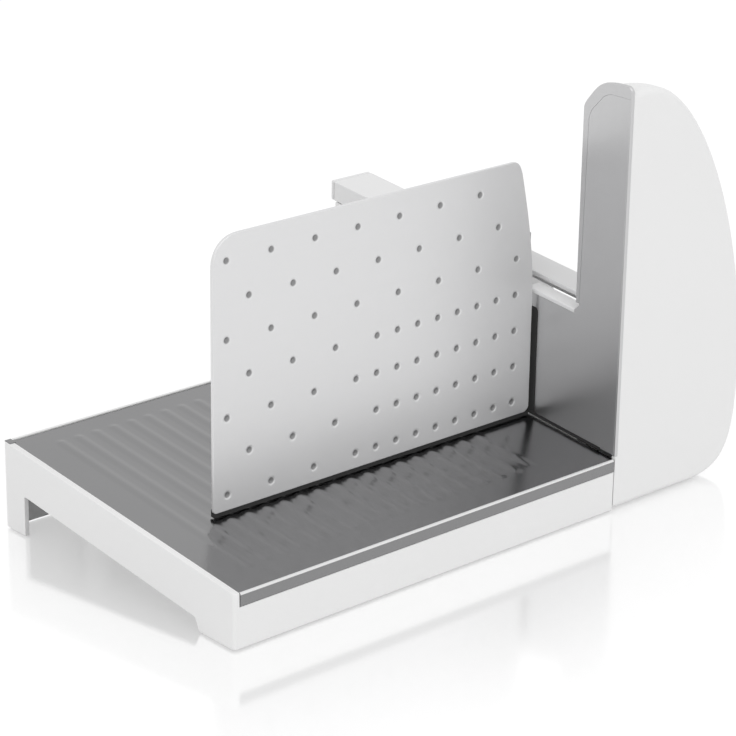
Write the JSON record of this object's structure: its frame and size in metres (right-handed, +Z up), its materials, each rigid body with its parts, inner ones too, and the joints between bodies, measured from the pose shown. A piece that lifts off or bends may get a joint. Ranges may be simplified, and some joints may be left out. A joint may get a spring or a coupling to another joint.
{
  "type": "electric food slicer",
  "caption": "Electric food slicer with a sloping ribbed steel tray, a dimpled sliding carriage wall, a low guide wall with a blade behind it, and a tall rounded tower.",
  "frame": {"origin": "middle of the footprint, on the table", "axes": "+X to the user's right along the front edge, +Y away from the user, +Z up"},
  "size_m": [0.378, 0.25, 0.2473],
  "materials": {
    "white_plastic": "fine satin moulded plastic",
    "tray_steel": "semi-gloss pressed sheet",
    "stop_panel": "satin",
    "carriage_sheet": "satin pressed sheet",
    "rail_plastic": "satin moulded plastic",
    "blade_steel": "ground",
    "inner_steel": "plated",
    "dark_plastic": "fine texture",
    "nylon": "natural",
    "rubber": "matt",
    "bush_brass": "turned",
    "rotor_winding": "varnished winding",
    "circuit_board": "resin board"
  },
  "bodies": {
    "base": {"base_shell": "white_plastic", "food_tray": "tray_steel", "chassis_plate": "inner_steel", "chassis_screw_1": "inner_steel", "chassis_screw_2": "inner_steel", "rubber_foot_1": "rubber", "rubber_foot_2": "rubber", "rubber_foot_3": "rubber", "rubber_foot_4": "rubber", "tower_cover": "white_plastic", "tower_back": "white_plastic", "tower_frame": "inner_steel", "upper_guide_bush": "nylon", "lower_guide_bush": "nylon", "knob_bush": "nylon", "control_board": "circuit_board", "power_switch": "dark_plastic", "power_spring": "inner_steel", "safety_switch": "dark_plastic", "safety_spring": "inner_steel", "tower_screw_1": "inner_steel", "tower_screw_2": "inner_steel", "tower_screw_3": "inner_steel", "side_housing": "white_plastic", "side_cover": "white_plastic", "bottom_cover": "dark_plastic", "power_inlet": "dark_plastic", "rail_beam": "rail_plastic", "rail_end_cap": "rail_plastic", "axle_bush": "bush_brass", "gear_case_front": "dark_plastic", "gear_case_back": "dark_plastic", "worm_bush": "bush_brass", "motor_bracket": "inner_steel", "motor_can": "inner_steel", "motor_end_cap": "dark_plastic"},
    "carriage": {"dimpled_plate": "carriage_sheet", "carriage_bridge": "stop_panel", "carriage_shoe": "dark_plastic", "bridge_screw_1": "inner_steel", "bridge_screw_2": "inner_steel"},
    "stop": {"stop_plate": "stop_panel", "stop_rack": "nylon", "upper_guide_rod": "inner_steel", "lower_guide_rod": "inner_steel"},
    "knob": {"knob_shaft": "inner_steel", "thickness_knob": "dark_plastic"},
    "blade_unit": {"blade": "blade_steel", "blade_hub": "nylon", "blade_cap": "blade_steel", "blade_axle": "inner_steel", "worm_wheel": "nylon"},
    "rotor": {"worm_shaft": "inner_steel", "motor_rotor": "rotor_winding", "cooling_fan": "dark_plastic"},
    "power_key": {"power_button": "dark_plastic"},
    "safety_key": {"safety_button": "white_plastic"}
  },
  "joints": [
    {"name": "carriage_slide", "type": "slide", "parent": "base", "child": "carriage", "axis": [0, 0.9952, 0.098], "range_m": [-0.0572, 0.1044]},
    {"name": "stop_slide", "type": "slide", "parent": "base", "child": "stop", "axis": [1, 0, 0], "range_m": [0, 0.014]},
    {"name": "knob_turn", "type": "hinge", "parent": "base", "child": "knob", "pos_m": [0.142, -0.08, 0.09899], "axis": [0, 1, 0], "range_deg": [0, 160.5]},
    {"name": "blade_spin", "type": "hinge", "parent": "base", "child": "blade_unit", "pos_m": [0.086, 0.021, 0.084], "axis": [1, 0, 0], "continuous": true},
    {"name": "motor_spin", "type": "hinge", "parent": "base", "child": "rotor", "pos_m": [0.117, 0.047, 0.058], "axis": [0, 1, 0], "continuous": true},
    {"name": "power_press", "type": "slide", "parent": "base", "child": "power_key", "axis": [0, -1, 0], "range_m": [0, 0.0025], "stiffness_N_per_m": 500, "springref_m": -0.001, "deforming": ["power_spring"]},
    {"name": "safety_press", "type": "slide", "parent": "base", "child": "safety_key", "axis": [0, -1, 0], "range_m": [0, 0.0025], "stiffness_N_per_m": 500, "springref_m": -0.001, "deforming": ["safety_spring"]}
  ],
  "couplings": [
    {"joint": "knob_turn", "follows": "stop_slide", "rad_per_m": 200},
    {"joint": "motor_spin", "follows": "blade_spin", "ratio": 20}
  ]
}
